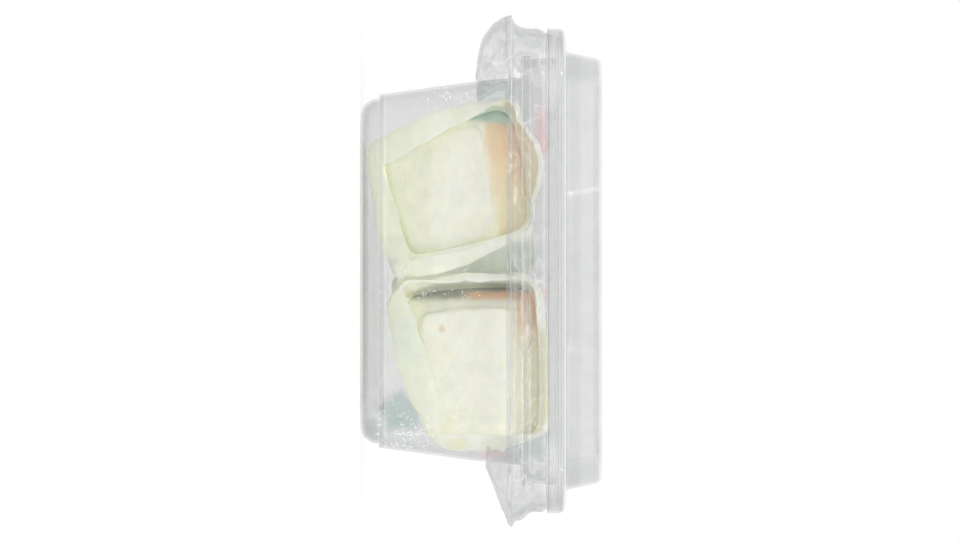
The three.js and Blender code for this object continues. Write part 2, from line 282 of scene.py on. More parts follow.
def add(tree, kind, inputs=(), out=0, **settings):
    """An output of a new node, with its inputs set to values or linked to other outputs."""
    node = tree.nodes.new("ShaderNode" + kind)
    for key, value in settings.items():
        setattr(node, key, value)
    for key, value in dict(inputs).items():
        if isinstance(value, bpy.types.NodeSocket):
            tree.links.new(value, node.inputs[key])
        else:
            node.inputs[key].default_value = value
    return node.outputs[out]


def add_math(tree, operation, a, b=0.0):
    return add(tree, "Math", {0: a, 1: b}, operation=operation)


def add_range(tree, value, low, high, to_low, to_high):
    ends = {"From Min": low, "From Max": high, "To Min": to_low, "To Max": to_high}
    return add(tree, "MapRange", {"Value": value, **ends})


def add_noise(tree, scale, detail=3.0, rough=0.5):
    place = add(tree, "TexCoord", out="Object")
    inputs = {"Vector": place, "Scale": scale, "Detail": detail, "Roughness": rough}
    return add(tree, "TexNoise", inputs, out="Fac")


def add_facing(tree):
    """0 where a face is seen straight on, rising to 1 where it is seen edge on."""
    return add(tree, "LayerWeight", {"Blend": 0.5}, out="Facing")


def add_stored(tree, layer):
    return add(tree, "VertexColor", layer_name=layer)


def add_blend(tree, share, first, second):
    return add(tree, "MixShader", {0: share, 1: first, 2: second})


def add_bump(tree, height, strength, depth):
    return add(tree, "Bump", {"Height": height, "Strength": strength, "Distance": depth})


def set_surface(tree, surface):
    tree.links.new(surface, tree.nodes.new("ShaderNodeOutputMaterial").inputs["Surface"])


def crease_lines(tree, scale, reach):
    """1 along thin wandering lines and 0 away from them."""
    away = add_math(tree, "SUBTRACT", add_noise(tree, scale, 2.0), 0.5)
    return add_range(tree, add_math(tree, "ABSOLUTE", away), 0.0, reach, 1.0, 0.0)


def clear_material(name, cover, edge_cover, falloff, gloss, crinkle=0.0):
    """Clear plastic: it takes a little light at each face, more where the sheet is seen edge on,
    and more or less again by the extra cover that the piece stores with its colour. With a crinkle
    its reflections are uneven, and it has thin creases, mostly at its two ends, drawn as lines of
    painted shade and of painted highlight."""
    made, tree = new_material(name)
    facing = add_facing(tree)
    edge = add_math(tree, "POWER", facing, falloff)
    dust = add_range(tree, add_noise(tree, 240.0), 0.35, 0.75, 0.0, DUST_COVER)
    fog = add_math(tree, "ADD", add_range(tree, edge, 0.0, 1.0, cover, edge_cover), dust)
    fog = add_math(tree, "ADD", fog, add_stored(tree, "extra_cover"))
    body = add_stored(tree, "body_colour")
    shine = {"Color": WHITE, "Roughness": gloss}
    if crinkle:
        across = add(tree, "SeparateXYZ", {0: add(tree, "TexCoord", out="Object")}, out="X")
        end = add_math(tree, "ABSOLUTE", across)
        loose = add_range(tree, end, CREASE_START, CREASE_FULL, CREASE_HELD, CREASE_LOOSE)
        # Crease lines: the dark ones add painted shade as cover, the bright ones are painted
        # highlight
        dark, highlight_creases = crease_lines(tree, 130.0, 0.022), crease_lines(tree, 95.0, 0.016)
        creases = add_math(tree, "MULTIPLY", add_math(tree, "ADD", dark, highlight_creases), loose)
        fog = add_math(tree, "ADD", fog, creases)
        body = add(tree, "MixRGB", {0: highlight_creases, 1: body, 2: (*PAINTED_HIGHLIGHT, 1)})
        shine["Normal"] = add_bump(tree, add_noise(tree, 260.0, 4.0), crinkle, 0.001)
    haze = add(tree, "BsdfPrincipled", {"Base Color": body, "Roughness": HAZE_ROUGHNESS})
    sheet = add_blend(tree, fog, add(tree, "BsdfTransparent"), haze)
    mirror = add_math(tree, "POWER", facing, MIRROR_FALLOFF)
    mirror = add_range(tree, mirror, 0.0, 1.0, MIRROR_FRONT, MIRROR_EDGE)
    set_surface(tree, add_blend(tree, mirror, sheet, add(tree, "BsdfGlossy", shine)))
    return made


def water_material():
    """Small beads: nearly clear where they are seen straight on, and pale at their edges."""
    made, tree = new_material("water_drops")
    share = add_range(tree, add_facing(tree), 0.0, 0.8, 0.18, 0.80)
    rough = add_range(tree, add_noise(tree, 900.0), 0.3, 0.7, 0.1, 0.3)
    bead = add(tree, "BsdfPrincipled", {"Base Color": (*WATER, 1), "Roughness": rough})
    set_surface(tree, add_blend(tree, share, add(tree, "BsdfTransparent"), bead))
    return made


def food_material(name, layer, rough, grain, depth, soak, radius, mottle, let_through=0.0):
    """A pale food or paper surface: stored colours, mottling, fine grain, a stored painted glow,
    and for thin paper the light that comes through from behind."""
    made, tree = new_material(name)
    broad = add_noise(tree, 190.0, 5.0, 0.6)
    broad = add_range(tree, broad, 0.3, 0.7, 1 - mottle, 1 + mottle * 0.6)
    mottled = {0: add_stored(tree, layer), 3: broad}
    shaded = add(tree, "VectorMath", mottled, operation="SCALE")
    bump = add_bump(tree, add_noise(tree, grain, 5.0, 0.65), 0.6, depth)
    wet = add_range(tree, add_noise(tree, grain * 0.5), 0.3, 0.7, rough - 0.1, rough + 0.1)
    surface = add(tree, "BsdfPrincipled", {
        "Base Color": shaded,
        "Roughness": wet,
        "Normal": bump,
        "Subsurface Weight": soak,
        "Subsurface Radius": (radius, radius, radius * 0.6),
        "Subsurface Scale": 1.0,
        "Emission Color": shaded,
        "Emission Strength": add_stored(tree, "painted_glow"),
    })
    if let_through:
        glow = add(tree, "BsdfTranslucent", {"Color": shaded, "Normal": bump})
        surface = add_blend(tree, let_through, surface, glow)
    set_surface(tree, surface)
    return made


tray_look = clear_material("tray_plastic", cover=0.095, edge_cover=0.24, falloff=2.5, gloss=0.03)
lid_look = clear_material("lid_plastic", cover=0.088, edge_cover=0.14, falloff=3.0, gloss=0.03)
film_look = clear_material("film_plastic", cover=0.085, edge_cover=0.20, falloff=1.7, gloss=0.08,
                           crinkle=0.35)
cheese_look = food_material("fresh_cheese", "cheese_colour", rough=0.62, grain=750.0, depth=0.00060,
                            soak=0.25, radius=0.0012, mottle=0.055)
wrap_look = food_material("pale_wrap", "wrap_colour", rough=0.5, grain=600.0, depth=0.00034,
                          soak=0.3, radius=0.0015, mottle=0.07, let_through=0.15)


def draw_lines(z, colour, cover, lines):
    """Adds the thin lines of painted highlight and painted edge shade along the clear plastic's
    edges and steps.
    """
    for height, reach, line_colour, most in lines:
        inside = max(0.0, 1 - abs(z - height) / reach)
        if inside > 0:
            colour = tint(colour, line_colour, inside)
            cover += most * inside
    return colour, cover


def store_looks(piece, looks):
    """Stores a colour and an extra cover, given as pairs, on each point of a clear piece."""
    store(piece, "body_colour", [colour for colour, _ in looks])
    store_shares(piece, "extra_cover", [cover for _, cover in looks])


def dress(piece, look, slot, *nodes):
    """Gives a piece its material and its body, and hides the CAD nodes that it stands for. The slot
    is not used.
    """
    piece.data.materials.append(look)
    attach(piece, "root")
    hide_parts(*nodes)


# --- the tray
# Each notch in the bead: where it starts, its flat top and its end along X, and how far the pocket
# above it reaches to each side at its foot and at its top
NOTCHES = [
    {"stops": (-22.4, -19.4, -14.9, -10.9), "middle": -17.1, "pocket": (1.0, 2.6)},
    {"stops": (12.4, 16.4, 19.8, 24.6), "middle": 18.3, "pocket": (1.6, 3.6)},
]
NOTCH_RISE, NOTCH_DEPTH = 0.95, 0.7
POCKET_TOP, POCKET_EDGE, POCKET_DEPTH = 55.5, 0.5, 0.9
FLOOR_LIFT = 0.8
TRAY_FLOOR_RINGS = [0.97, 0.94, 0.91, 0.88, 0.85, 0.82, 0.78, 0.6, 0.4, 0.2, 0.05]


def notch_at(x):
    stops = [notch["stops"] for notch in NOTCHES]
    return max(smooth(a, b, x) * (1 - smooth(c, d, x)) for a, b, c, d in stops)


def pocket_at(x, z):
    deepest = 0
    for notch in NOTCHES:
        reach = mix(*notch["pocket"], smooth(BEAD_TOP, POCKET_TOP, z))
        inside = 1 - smooth(reach - POCKET_EDGE, reach + POCKET_EDGE, abs(x - notch["middle"]))
        deepest = max(deepest, inside * smooth(BEAD_TOP - 0.2, BEAD_TOP + 0.6, z))
    return deepest * (1 - smooth(POCKET_TOP, POCKET_TOP + 0.6, z))


def tray_relief(place, normal, half, z):
    out, up = formed_wave(place, z), 0.0
    if abs(normal.y) == 1 and LEDGE_Z - 0.5 < z < FLANGE_Z - 0.6:
        notch = notch_at(place.x) * smooth(WALL_TOP_HALF + 1.0, WALL_TOP_HALF + 4.5, half)
        up = notch * max(BEAD_TOP - z, 0) * NOTCH_RISE
        out -= notch * NOTCH_DEPTH * (z < BEAD_TOP + 0.1)
        out -= POCKET_DEPTH * pocket_at(place.x, z)
    return out * smooth(0, 1.5, z), up


def foot_arc(steps):
    run = STEP_HALF - STEP_SHELF - FOOT_HALF
    angles = [k / steps * math.pi / 2 for k in range(steps + 1)]
    return [(FOOT_HALF + run * math.sin(a), FOOT_TOP * (1 - math.cos(a)), 0) for a in angles]


def make_tray():
    line = profile([
        (FOOT_HALF - 1.5, 0, 0),
        *foot_arc(12),
        (STEP_HALF - 0.2, FOOT_TOP + 0.3, 0.5),
        (STEP_HALF, STEP_TOP, 0.8),
        (WALL_BREAK_HALF, WALL_BREAK + 0.4, 1.6),
        (WALL_TOP_HALF + 0.2, LEDGE_Z, 0.9),
        (BEAD_HALF, LEDGE_Z, 1.3),
        (BEAD_HALF, BEAD_TOP, 1.0),
        (BEAD_HALF - 1.0, BEAD_TOP, 0.4),
        (BEAD_HALF - 0.4, FLANGE_Z, 0.7),
        (FLANGE_HALF, FLANGE_Z, 0),
    ], TRAY_LINES)
    outer, inner = sheet_shell(line, tray_relief)
    lift = lambda s: FLOOR_LIFT * smooth(0.95, 0.83, s)
    under = inward_rings(outer[0], TRAY_FLOOR_RINGS, lift)
    floor = inward_rings(inner[0], TRAY_FLOOR_RINGS, lift)
    tray = new_mesh("tray_clear", *skin(under[::-1] + outer + inner[::-1] + floor))
    looks = [print_and_shade_at(*spot) for spot in places_of(tray)]
    count = len(outer[0])
    for k, point in enumerate(line, len(under)):
        for i in range(k * count, (k + 1) * count):
            looks[i] = draw_lines(point.y, *looks[i], TRAY_LINES)
    store_looks(tray, looks)
    dress(tray, tray_look, "clear_plastic", "tray")


# Painted highlights and painted edge shade at the tray's steps and edges, as (height, reach,
# colour, extra cover)
TRAY_LINES = [
    (1.35, 0.7, PAINTED_EDGE_SHADE, 0.06),
    (5.3, 0.35, PAINTED_HIGHLIGHT, 0.10),
    (6.3, 0.45, PAINTED_EDGE_SHADE, 0.06),
    (7.35, 0.35, PAINTED_HIGHLIGHT, 0.09),
    (LEDGE_Z + 0.35, 0.5, PAINTED_HIGHLIGHT, 0.30),
    (LEDGE_Z + 1.2, 0.4, PAINTED_EDGE_SHADE, 0.04),
    (BEAD_TOP - 0.3, 0.45, PAINTED_HIGHLIGHT, 0.22),
    (BEAD_TOP + 0.75, 0.4, PAINTED_EDGE_SHADE, 0.06),
]


FAR_WALL_Y = 25
SEAL_START, SEAL_FULL = 54.5, 55.5
RED_PRINT = (0.80, 0.07, 0.06)
TEAL_PRINT = (0.02, 0.30, 0.30)
PAINTED_GREY_SHADE = (0.10, 0.11, 0.09)
# Faint fields of colour on the tray's far wall, as (middle, reach, colour, cover): red and teal
# print, and grey painted shade low down and high up between the portions
PRINT_AND_SHADE_FIELDS = [
    ((-40.5, 53.2), (11.5, 2.8), RED_PRINT, 0.11),
    ((6.9, 54.2), (3.0, 1.7), RED_PRINT, 0.06),
    ((55.0, 38.4), (2.4, 5.4), RED_PRINT, 0.035),
    ((42.0, 11.5), (8.0, 7.5), TEAL_PRINT, 0.20),
    ((53.0, 50.0), (5.0, 6.4), TEAL_PRINT, 0.05),
    ((-52.0, 39.0), (3.4, 7.5), TEAL_PRINT, 0.05),
    ((48.0, 2.8), (6.0, 3.4), TEAL_PRINT, 0.10),
    # Grey painted shade: low down behind the portions, and high up between them
    ((12.0, 3.5), (46.0, 5.0), PAINTED_GREY_SHADE, 0.05),
    ((-2.0, 52.6), (5.0, 2.4), PAINTED_GREY_SHADE, 0.07),
]


def print_and_shade_at(x, y, z):
    """The plastic's colour and extra cover at a place: greyer at the foot, clearer above the ledge
    and where it is sealed under the lid, and tinted by the print and the grey painted shade on the
    far wall."""
    end, under_lid = abs(x), smooth(SEAL_START, SEAL_FULL, z)
    cover = 0.02 * (1 - smooth(4.5, 7.5, z)) - under_lid * (0.05 + 0.03 * smooth(46, 54, end))
    cover -= (0.022 + 0.04 * smooth(54, 57, end)) * smooth(46, 48, z) * (1 - under_lid)
    colour = CLEAR_BODY
    if y > FAR_WALL_Y:
        for middle, reach, field_colour, most in PRINT_AND_SHADE_FIELDS:
            inside = inside_ellipse(x, z, middle, reach)
            if inside > 0:
                colour = tint(colour, field_colour, inside)
                cover += most * inside
    return colour, cover


# --- the lid
PANEL_HALF, PANEL_CREASE, PANEL_DEPTH, PANEL_LEAN = 23.3, 0.45, 0.7, 0.16
TOP_BORDER_DROP = 0.9
LID_TOP_RINGS = [0.985, 0.97, 0.955, 0.94, 0.925, 0.91, 0.8, 0.6, 0.4, 0.2, 0.05]
CUT_COVER = 0.13


def panel_edge(z):
    """How far the sunk panel in each long wall reaches from the middle at a height."""
    return PANEL_HALF + (z - (RIM_TOP + DOME_TOP) / 2) * PANEL_LEAN


def lid_relief(place, normal, _, z):
    out = formed_wave(place, z)
    if abs(normal.y) == 1:
        edge = panel_edge(z)
        panel = 1 - smooth(edge - PANEL_CREASE, edge + PANEL_CREASE, abs(place.x))
        out -= PANEL_DEPTH * panel * smooth(RIM_TOP + 0.3, RIM_TOP + 1.2, z)
    return out, 0.0


def make_lid():
    line = profile([
        (RIM_HALF, LID_EDGE_Z, 0),
        (RIM_HALF, LID_EDGE_Z + 0.25, 0),
        (RIM_HALF, LID_EDGE_Z + 0.5, 0),
        (RIM_HALF, RIM_TOP - 0.5, 2.4),
        (DOME_BASE_HALF + 0.3, RIM_TOP, 1.0),
        (DOME_TOP_HALF, DOME_TOP, 1.9),
        (DOME_TOP_HALF - 4.0, DOME_TOP, 0),
    ], LID_LINES)
    outer, inner = sheet_shell(line, lid_relief)
    drop = lambda s: -TOP_BORDER_DROP * smooth(0.98, 0.925, s)
    top = inward_rings(outer[-1], LID_TOP_RINGS, drop)
    ceiling = inward_rings(inner[-1], LID_TOP_RINGS, drop)
    lid = new_mesh("lid_clear", *skin(ceiling[::-1] + inner[::-1] + outer + top))
    store_looks(lid, [lid_zone(*spot) for spot in places_of(lid)])
    dress(lid, lid_look, "clear_plastic", "lid")


# Painted highlights and painted edge shade on the lid, as (height, reach, colour, extra cover)
LID_LINES = [
    (58.5, 0.5, PAINTED_EDGE_SHADE, 0.04),
    (RIM_TOP - 0.6, 0.4, PAINTED_HIGHLIGHT, 0.03),
    (64.4, 0.25, PAINTED_EDGE_SHADE, 0.0),
]


def lid_zone(x, _, z):
    """The lid's colour and extra cover: a painted dark line of edge shade at its cut edge, painted
    shade at its ends, a greyer lower wall, a painted highlight along the crease at each side of the
    panel, and a rim that is clearer towards its corners."""
    end = abs(x)
    cut = 1 - smooth(0.2, 0.45, z - LID_EDGE_Z)
    colour, cover = tint(LID_BODY, PAINTED_EDGE_SHADE, cut), CUT_COVER * cut
    if RIM_TOP < z < DOME_TOP - 0.6:
        edge = panel_edge(z)
        # Painted shade towards the dome's ends, and a greyer lower wall
        cover += 0.030 * smooth(56, 57, end) + 0.028 * (1 - smooth(64.2, 64.8, z))
        cover += 0.006 * (1 - smooth(edge - 0.6, edge, end))
        # A painted highlight along each crease of the panel
        reach = 0.06 if x < 0 else 0.03 * (1 - smooth(64, 66, z))
        crease = max(0.0, 1 - abs(end - edge))
        colour, cover = tint(colour, PAINTED_HIGHLIGHT, crease * reach * 12), cover + reach * crease
    elif z < RIM_TOP:
        clearer = smooth(48, 54, end) * (1 - smooth(58.2, 59.2, z))
        clearer *= 1 - smooth(62, 65, end)
        cover += 0.075 * smooth(58.8, 59.5, z) - 0.03 * clearer + 0.05 * smooth(64, 68, end)
    return draw_lines(z, colour, cover, LID_LINES)


# --- the film skirt
FILM_EDGE, FILM_TOP = (74.7, 43.9), (68.9, FLANGE_Z - 1.0)
# The film above its edge, as (half length and height at the left end, the same at the right end,
# radius, share of the pleats, share of the waves)
FILM_ROWS = [
    (FILM_EDGE, FILM_EDGE, 0, 0.5, 1),
    ((72.1, 44.7), (72.7, 44.9), 1.0, 1, 0.5),
    ((71.0, 46.6), (72.4, 47.2), 1.4, 1, 0),
    ((70.6, 49.5), (69.7, 49.9), 1.8, 0.4, 0),
    ((70.2, 53.3), (70.2, 53.3), 0.8, 0, 0),
    ((69.25, 54.3), (69.25, 54.3), 0.5, 0, 0),
    (FILM_TOP, FILM_TOP, 0, 0, 0),
]
FILM_TURN, FILM_WALL_HALF = 62, 57.2
# The film below its edge, as (share of the way in from the edge to the wall, height): a narrow hem
# along the sides, and a pouch round each end
HEM = [(0.12, 42.6), (0.07, 42.8), (0.03, 43.2)]
POUCH_LEFT = [(1, 33.9), (0.41, 35.4), (0.11, 39.5)]
POUCH_RIGHT = [(1, 36.8), (0.58, 39.8), (0.29, 41.7)]
POUCH_START, POUCH_FULL, POUCH_RADIUS = 55.0, 65.0, 4.5
FILM_UNDER_STEPS, FILM_HEM_SHARE, FILM_STEP, FOLD_COVER = 16, 0.12, 0.9, 0.11


def film_upper(edge, normal, along):
    """The film's upper part as distances out from its edge, heights and radii."""
    wave = 0.2 * math.sin(along * math.pi * 10) + 0.1 * math.sin(along * math.pi * 26 + 1)
    corner = 4 * (normal.x * normal.y) ** 2
    pleat = 0.8 * corner * math.sin(math.atan2(normal.y, normal.x) * 24)
    right = smooth(-FILM_TURN, FILM_TURN, edge.x)
    line = []
    for a, b, radius, with_pleat, with_wave in FILM_ROWS:
        out = mix(a[0], b[0], right) + pleat * with_pleat - FILM_EDGE[0]
        line.append((out, mix(a[1], b[1], right) + wave * with_wave, radius))
    rim = Vector(line[0][:2]).lerp(Vector(line[1][:2]), FILM_HEM_SHARE)
    line.insert(1, (rim.x, rim.y, 0))
    return fill_in(fillet(line), FILM_STEP)


def even_steps(line, count):
    """The same line as this many even steps."""
    lengths = [(b - a).length for a, b in zip(line, line[1:])]
    total, made, done, k = sum(lengths), [line[0]], 0.0, 0
    for i in range(1, count):
        goal = total * i / count
        while done + lengths[k] < goal:
            done += lengths[k]
            k += 1
        made.append(line[k].lerp(line[k + 1], (goal - done) / lengths[k]))
    return made + [line[-1]]


def film_wrinkle(place, z):
    """Crinkles, strong at the corners and ends and faint along the long sides."""
    spot = (place.x, place.y, z * 0.55)
    loose = mix(0.06, 1.0, smooth(44, 62, abs(place.x)))
    held = smooth(LID_EDGE_Z + 0.2, LID_EDGE_Z - 3.0, z)
    creased = 1 - abs(soft_noise(spot, 6.0, 5.0)) * 2
    fine = 1 - abs(soft_noise(spot, 2.6, 11.0)) * 2
    return loose * held * 0.75 * (0.65 * creased + 0.35 * fine - 0.45)


def film_column(edge, wall, normal, along):
    """A cut through the film: its outside from the wall to the edge and up, then back inside."""
    back = wall - edge
    pouch = smooth(POUCH_START, POUCH_FULL, abs(edge.x))
    deep = POUCH_LEFT if edge.x < 0 else POUCH_RIGHT
    upper = film_upper(edge, normal, along)
    radius = mix(0.2, POUCH_RADIUS, pouch)
    under = []
    for hem, low, turn in zip(HEM, deep, (0, radius, radius)):
        under.append((mix(hem[0], low[0], pouch) * -back.length, mix(hem[1], low[1], pouch), turn))
    bent = fillet([*under, (*upper[0], 0)])
    under = even_steps(bent, FILM_UNDER_STEPS)[:-1]
    outward = -back.normalized()
    ways = [outward] * len(under) + [normal] * len(upper)
    outside = []
    for point, left, way in zip(under + upper, left_normals(under + upper), ways):
        outside.append(point - left * film_wrinkle(edge + way * point.x, point.y))
    inside = [p + left * FILM_SHEET for p, left in zip(outside, left_normals(outside))]
    cut = zip(outside + inside[::-1], ways + ways[::-1])
    return [(*(edge + way * point.x), point.y) for point, way in cut]


def make_film():
    loop = plan(FILM_TOP[0], FLANGE_Z)
    wall = plan(FILM_WALL_HALF, WALL_BREAK)
    columns = []
    for i, ((place, normal), (back, _)) in enumerate(zip(loop, wall)):
        edge = place + normal * (FILM_EDGE[0] - FILM_TOP[0])
        columns.append(film_column(edge, back, normal, i / len(loop)))
    rings = [list(ring) for ring in zip(*columns)]
    film = new_mesh("film_skirt", *skin(rings, loop=True), sharp=50)
    store_looks(film, [film_zone(k, *p) for k, ring in enumerate(rings) for p in ring])
    dress(film, film_look, "clear_film", "film")


def film_zone(ring, x, _, z):
    """The film's colour and extra cover: a painted dark line of edge shade below its edge and a
    painted highlight above it, and clearer where it is sealed under the lid."""
    if ring == FILM_UNDER_STEPS - 1:
        return PAINTED_EDGE_SHADE, FOLD_COVER
    if ring == FILM_UNDER_STEPS:
        return PAINTED_HIGHLIGHT, FOLD_COVER * mix(3.0, 1.0, smooth(50, 64, abs(x)))
    return FILM_BODY, -0.08 * smooth(LID_EDGE_Z - 1.6, LID_EDGE_Z - 0.4, z)


# --- the portions and their wraps
CREAM = srgb(249, 249, 236)
CREAM_DEEP = srgb(247, 242, 212)
CREAM_LOW = srgb(237, 238, 216)
ORANGE = srgb(244, 220, 188)
TAN = srgb(246, 238, 206)
OLIVE = srgb(250, 248, 228)
GREEN_SHADE = srgb(206, 224, 210)
RUST = srgb(250, 202, 154)
SHADE_DARK_GREEN = srgb(128, 130, 108)
SHADE_GREY_GREEN = srgb(170, 174, 152)
DULL_YELLOW = srgb(226, 222, 180)
SPOT = srgb(240, 212, 182)
YELLOW = srgb(250, 244, 206)
MINT = srgb(246, 255, 238)
LIME_SHADE = srgb(244, 250, 220)
WRAP = srgb(254, 255, 245)
WRAP_LOW = srgb(250, 253, 228)
PAINTED_LIP_HIGHLIGHT = srgb(255, 255, 248)
GAP_SHADE = srgb(212, 218, 207)
HIGH_SHADE = srgb(186, 194, 184)
DULL_TOP = srgb(228, 225, 194)

# Outlines as seen from the front. Corners run lower right, upper right, upper left, lower left, as
# (across, up), with each corner's reach and the bulge of the side that follows it. The rear end is
# where the wrap ends, the pinch how far its lip is drawn back at one height, the top line where its
# tinted top starts, and the warm tint what its orange turns into, from one place across to another.
LEFT = {
    "face": ([(-4.6, 15.0), (-10.9, 40.1), (-44.3, 35.2), (-32.8, 6.8)],
        (4, 5, 6, 3), (0.4, 0.3, 0.6, 0.4)),
    "section": ([(-4.2, 14.2), (-11.6, 49.6), (-49.4, 44.2), (-34.4, 6.6)],
        (5, 7, 9, 5), (0.4, 0.8, 0.6, 0.3)),
    "throat": ([(-4.4, 14.8), (-12.4, 49.8), (-49.4, 44.2), (-33.0, 6.6)],
        (4, 7, 9, 3), (0.4, 0.8, 0.6, 0.4)),
    "mouth": ([(3.0, 9.8), (-11.5, 52.2), (-53.1, 46.0), (-37.0, 1.2)],
        (4, 9, 9, 5), (2.4, 4.2, 1.8, 1.4)),
    "lip": ([(-2.2, 14.0), (-11.6, 51.2), (-52.4, 45.2), (-31.0, 5.6)],
        (1.6, 8, 8, 2), (0.6, 4.2, 0, -0.7)),
    "rear": ([(1.6, 9.6), (1.4, 52.0), (-51.6, 45.2), (-36.0, 3.0)],
        (4, 6, 9, 5), (0, 1.2, 1.0, 0.8)),
    "rear_end": -33.4,
    "pinch": 0.0,
    "top_line": [(-49.0, 41.5), (-12.0, 47.5)],
    "warm": (TAN, -38, -16),
}
RIGHT = {
    "face": ([(48.6, 22.0), (48.9, 45.2), (10.0, 45.0), (12.4, 16.4)],
        (3, 4, 5, 5), (0.4, 0.3, 0.4, 0.5)),
    "section": ([(49.4, 20.8), (48.6, 52.4), (4.4, 51.0), (7.0, 12.6)],
        (6, 7, 7, 6), (0.5, 0.6, 0.6, 0.5)),
    "throat": ([(48.9, 21.7), (49.2, 52.4), (4.4, 51.0), (7.0, 12.8)],
        (3, 6, 7, 6), (0.4, 0.6, 0.6, 0.5)),
    "mouth": ([(54.6, 21.0), (48.6, 55.6), (1.4, 53.2), (5.2, 6.0)],
        (12, 6, 7, 9), (0.8, 0.4, 2.6, 2.0)),
    "lip": ([(48.4, 23.4), (48.2, 54.2), (1.5, 51.4), (2.8, 11.2)],
        (2, 4, 6, 4), (0, 0.4, -0.4, -1.8)),
    "rear": ([(51.5, 20.6), (49.2, 54.2), (0.4, 52.8), (0.4, 7.0)],
        (9, 7, 8, 7), (0.6, 0.5, 0, 1.2)),
    "rear_end": -31.0,
    "pinch": 1.0,
    "top_line": [(3.0, 50.0), (48.0, 50.5)],
    "warm": (OLIVE, 14, 22),
}
CORNER_POINTS, SIDE_POINTS, EDGE_RINGS, FACE_RINGS = 12, 32, 5, 40

PORTION_FRONT, PORTION_BACK, PORTION_SHOULDER, PORTION_EDGE = 31.0, -30.0, 21.5, 1.6
PINCH_Z, PINCH_REACH, PINCH_SHARE = 30.6, 1.2, 0.45
WRAP_FRONT, WRAP_FLARE, WRAP_CURL = 34.6, 4.6, 2.4
PORTION_STEP, WRAP_STEP = 0.9, 0.8
# How the wrap opens, as (share of the flare's or curl's length, share of the way from the narrower
# outline to the wider, or from the mouth to the lip)
REAR_FLARE = [(0.0, 1.0), (0.5, 0.4), (1.0, 0.0)]
FRONT_FLARE = [(1.0, 0.02), (0.8, 0.12), (0.6, 0.32), (0.3, 0.68), (0.0, 1.0)]
LIP_CURL = [(0.25, 0.08), (0.5, 0.3), (0.8, 0.72), (1.0, 1.0)]


def soft_outline(corners, reach, bulge):
    points = [Vector(c) for c in corners]
    outline = []
    for i, corner in enumerate(points):
        before, after = points[i - 1], points[(i + 1) % 4]
        start = corner + (before - corner).normalized() * reach[i]
        end = corner + (after - corner).normalized() * reach[i]
        outline += turn_round(start, corner, end, CORNER_POINTS)
        side_end = after + (corner - after).normalized() * reach[(i + 1) % 4]
        along = side_end - end
        outward = Vector((along.y, -along.x)).normalized()
        for k in range(1, SIDE_POINTS + 1):
            t = k / (SIDE_POINTS + 1)
            outline.append(end + along * t + outward * bulge[i] * 4 * t * (1 - t))
    return outline


def shrink(outline, distance):
    return [p + n * distance for p, n in zip(outline, left_normals(outline, loop=True))]


def blend(a, b, t):
    return [p.lerp(q, t) for p, q in zip(a, b)]


def between(stations, most):
    """Adds stations in between, so that none lie further apart than the most."""
    dense = [stations[0]]
    for (a, shape_a), (b, shape_b) in zip(stations, stations[1:]):
        parts = max(1, math.ceil(abs(b - a) / most))
        for t in (k / parts for k in range(1, parts + 1)):
            dense.append((mix(a, b, t), blend(shape_a, shape_b, t)))
    return dense


def crumb(point):
    """The uneven surface of fresh cheese."""
    lumps = soft_noise(point, 6.5, 2.0) * 0.35 + soft_noise(point, 2.6, 7.0) * 0.28
    pits = max(0.0, soft_noise(point, 2.3, 15.0) - 0.35) * -0.7
    return lumps * 0.8 + pits + soft_noise(point, 1.6, 21.0) * 0.13


def make_cheese(name, shape, colour_at, light_at, node):
    full = soft_outline(*shape["section"])
    small = soft_outline(*shape["face"])
    slope = PORTION_FRONT - PORTION_EDGE - PORTION_SHOULDER
    half = between([
        (0.0, full),
        (PORTION_SHOULDER - slope * 0.25, full),
        (PORTION_SHOULDER, blend(full, small, 0.08)),
        (PORTION_SHOULDER + slope * 0.5, blend(full, small, 0.55)),
        (PORTION_FRONT - PORTION_EDGE, small),
    ], PORTION_STEP)
    for k in range(1, EDGE_RINGS + 1):
        turn = k / EDGE_RINGS * math.pi / 2
        inward = PORTION_EDGE * (1 - math.cos(turn)) * 0.8
        half.append((PORTION_FRONT - PORTION_EDGE * (1 - math.sin(turn)), shrink(small, inward)))
    rim = half[-1][1]
    centre = sum(rim, Vector((0, 0))) / len(rim)
    for k in range(1, FACE_RINGS):
        half.append((PORTION_FRONT, [centre.lerp(p, 1 - k / FACE_RINGS) for p in rim]))
    front = [[Vector((p.x, -forward, p.y)) for p in outline] for forward, outline in half]
    squeeze = PORTION_BACK / PORTION_FRONT
    rear = [[Vector((p.x, p.y * squeeze, p.z)) for p in ring] for ring in front[1:]]
    cheese = new_mesh(name, *skin(rear[::-1] + front), sharp=80)
    moved = [v.co + v.normal * crumb(v.co / MM) * MM for v in cheese.data.vertices]
    for vertex, place in zip(cheese.data.vertices, moved):
        vertex.co = place
    spots = places_of(cheese)
    store(cheese, "cheese_colour", [colour_at(*spot) for spot in spots])
    store_shares(cheese, "painted_glow", [light_at(*spot) for spot in spots])
    dress(cheese, cheese_look, "cheese", node)


def ragged_lip(shape, mouth, seed):
    """The line where the flaps end, uneven, and pinched in one place where the shape says so."""
    line = []
    for edge, rim in zip(soft_outline(*shape["lip"]), mouth):
        spot = (edge.x, 0, edge.y)
        uneven = 0.06 * soft_noise(spot, 6.0, seed) + 0.07 * soft_noise(spot, 1.8, seed + 3)
        pinch = shape["pinch"] * max(0.0, 1 - abs(edge.y - PINCH_Z) / PINCH_REACH) * (edge.x < 6)
        line.append(edge.lerp(rim, uneven + PINCH_SHARE * pinch))
    return line


